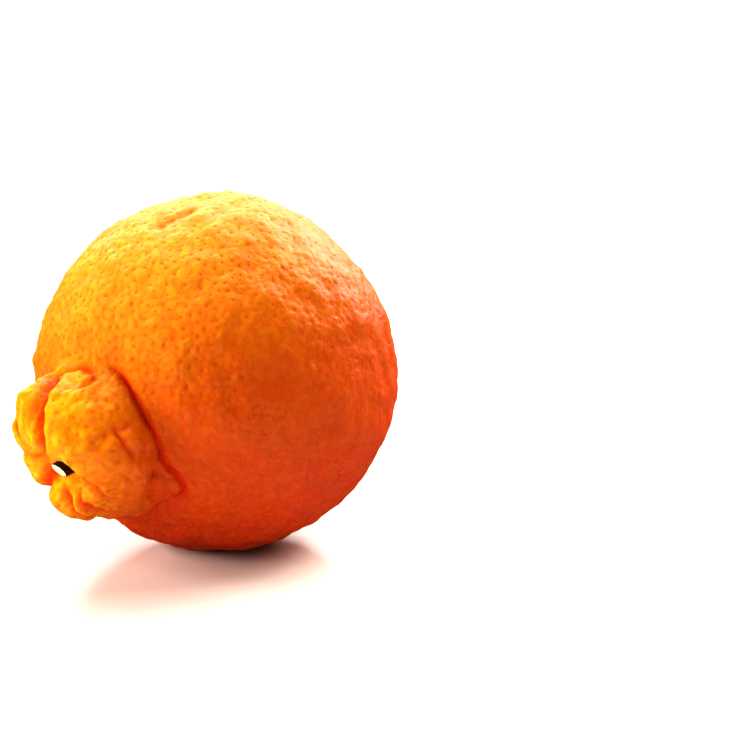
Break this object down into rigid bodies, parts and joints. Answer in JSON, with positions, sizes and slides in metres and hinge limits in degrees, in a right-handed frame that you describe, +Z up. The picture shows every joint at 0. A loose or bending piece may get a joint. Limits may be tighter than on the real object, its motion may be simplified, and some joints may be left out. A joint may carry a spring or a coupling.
{
  "type": "shiranui mandarin",
  "caption": "Whole orange citrus fruit with a lobed, knobbly neck round its stem hollow, a dried calyx and a clipped stem stub, lying on its side.",
  "frame": {"origin": "centre of the small flat spot under the body, on the surface that the fruit rests on", "axes": "+Z up; -X is the side that the neck points to, dipping a little; +Y is the side away from the picture's camera"},
  "size_m": [0.0965, 0.0842, 0.0837],
  "materials": {
    "rind": "waxy orange peel with small oil pits",
    "dried_calyx": "dry and dark brown",
    "cut_stem": "dark bark round a pale cut end"
  },
  "bodies": {
    "root": {"fruit": "rind", "calyx": "dried_calyx", "stem_stub": "cut_stem"}
  },
  "joints": []
}
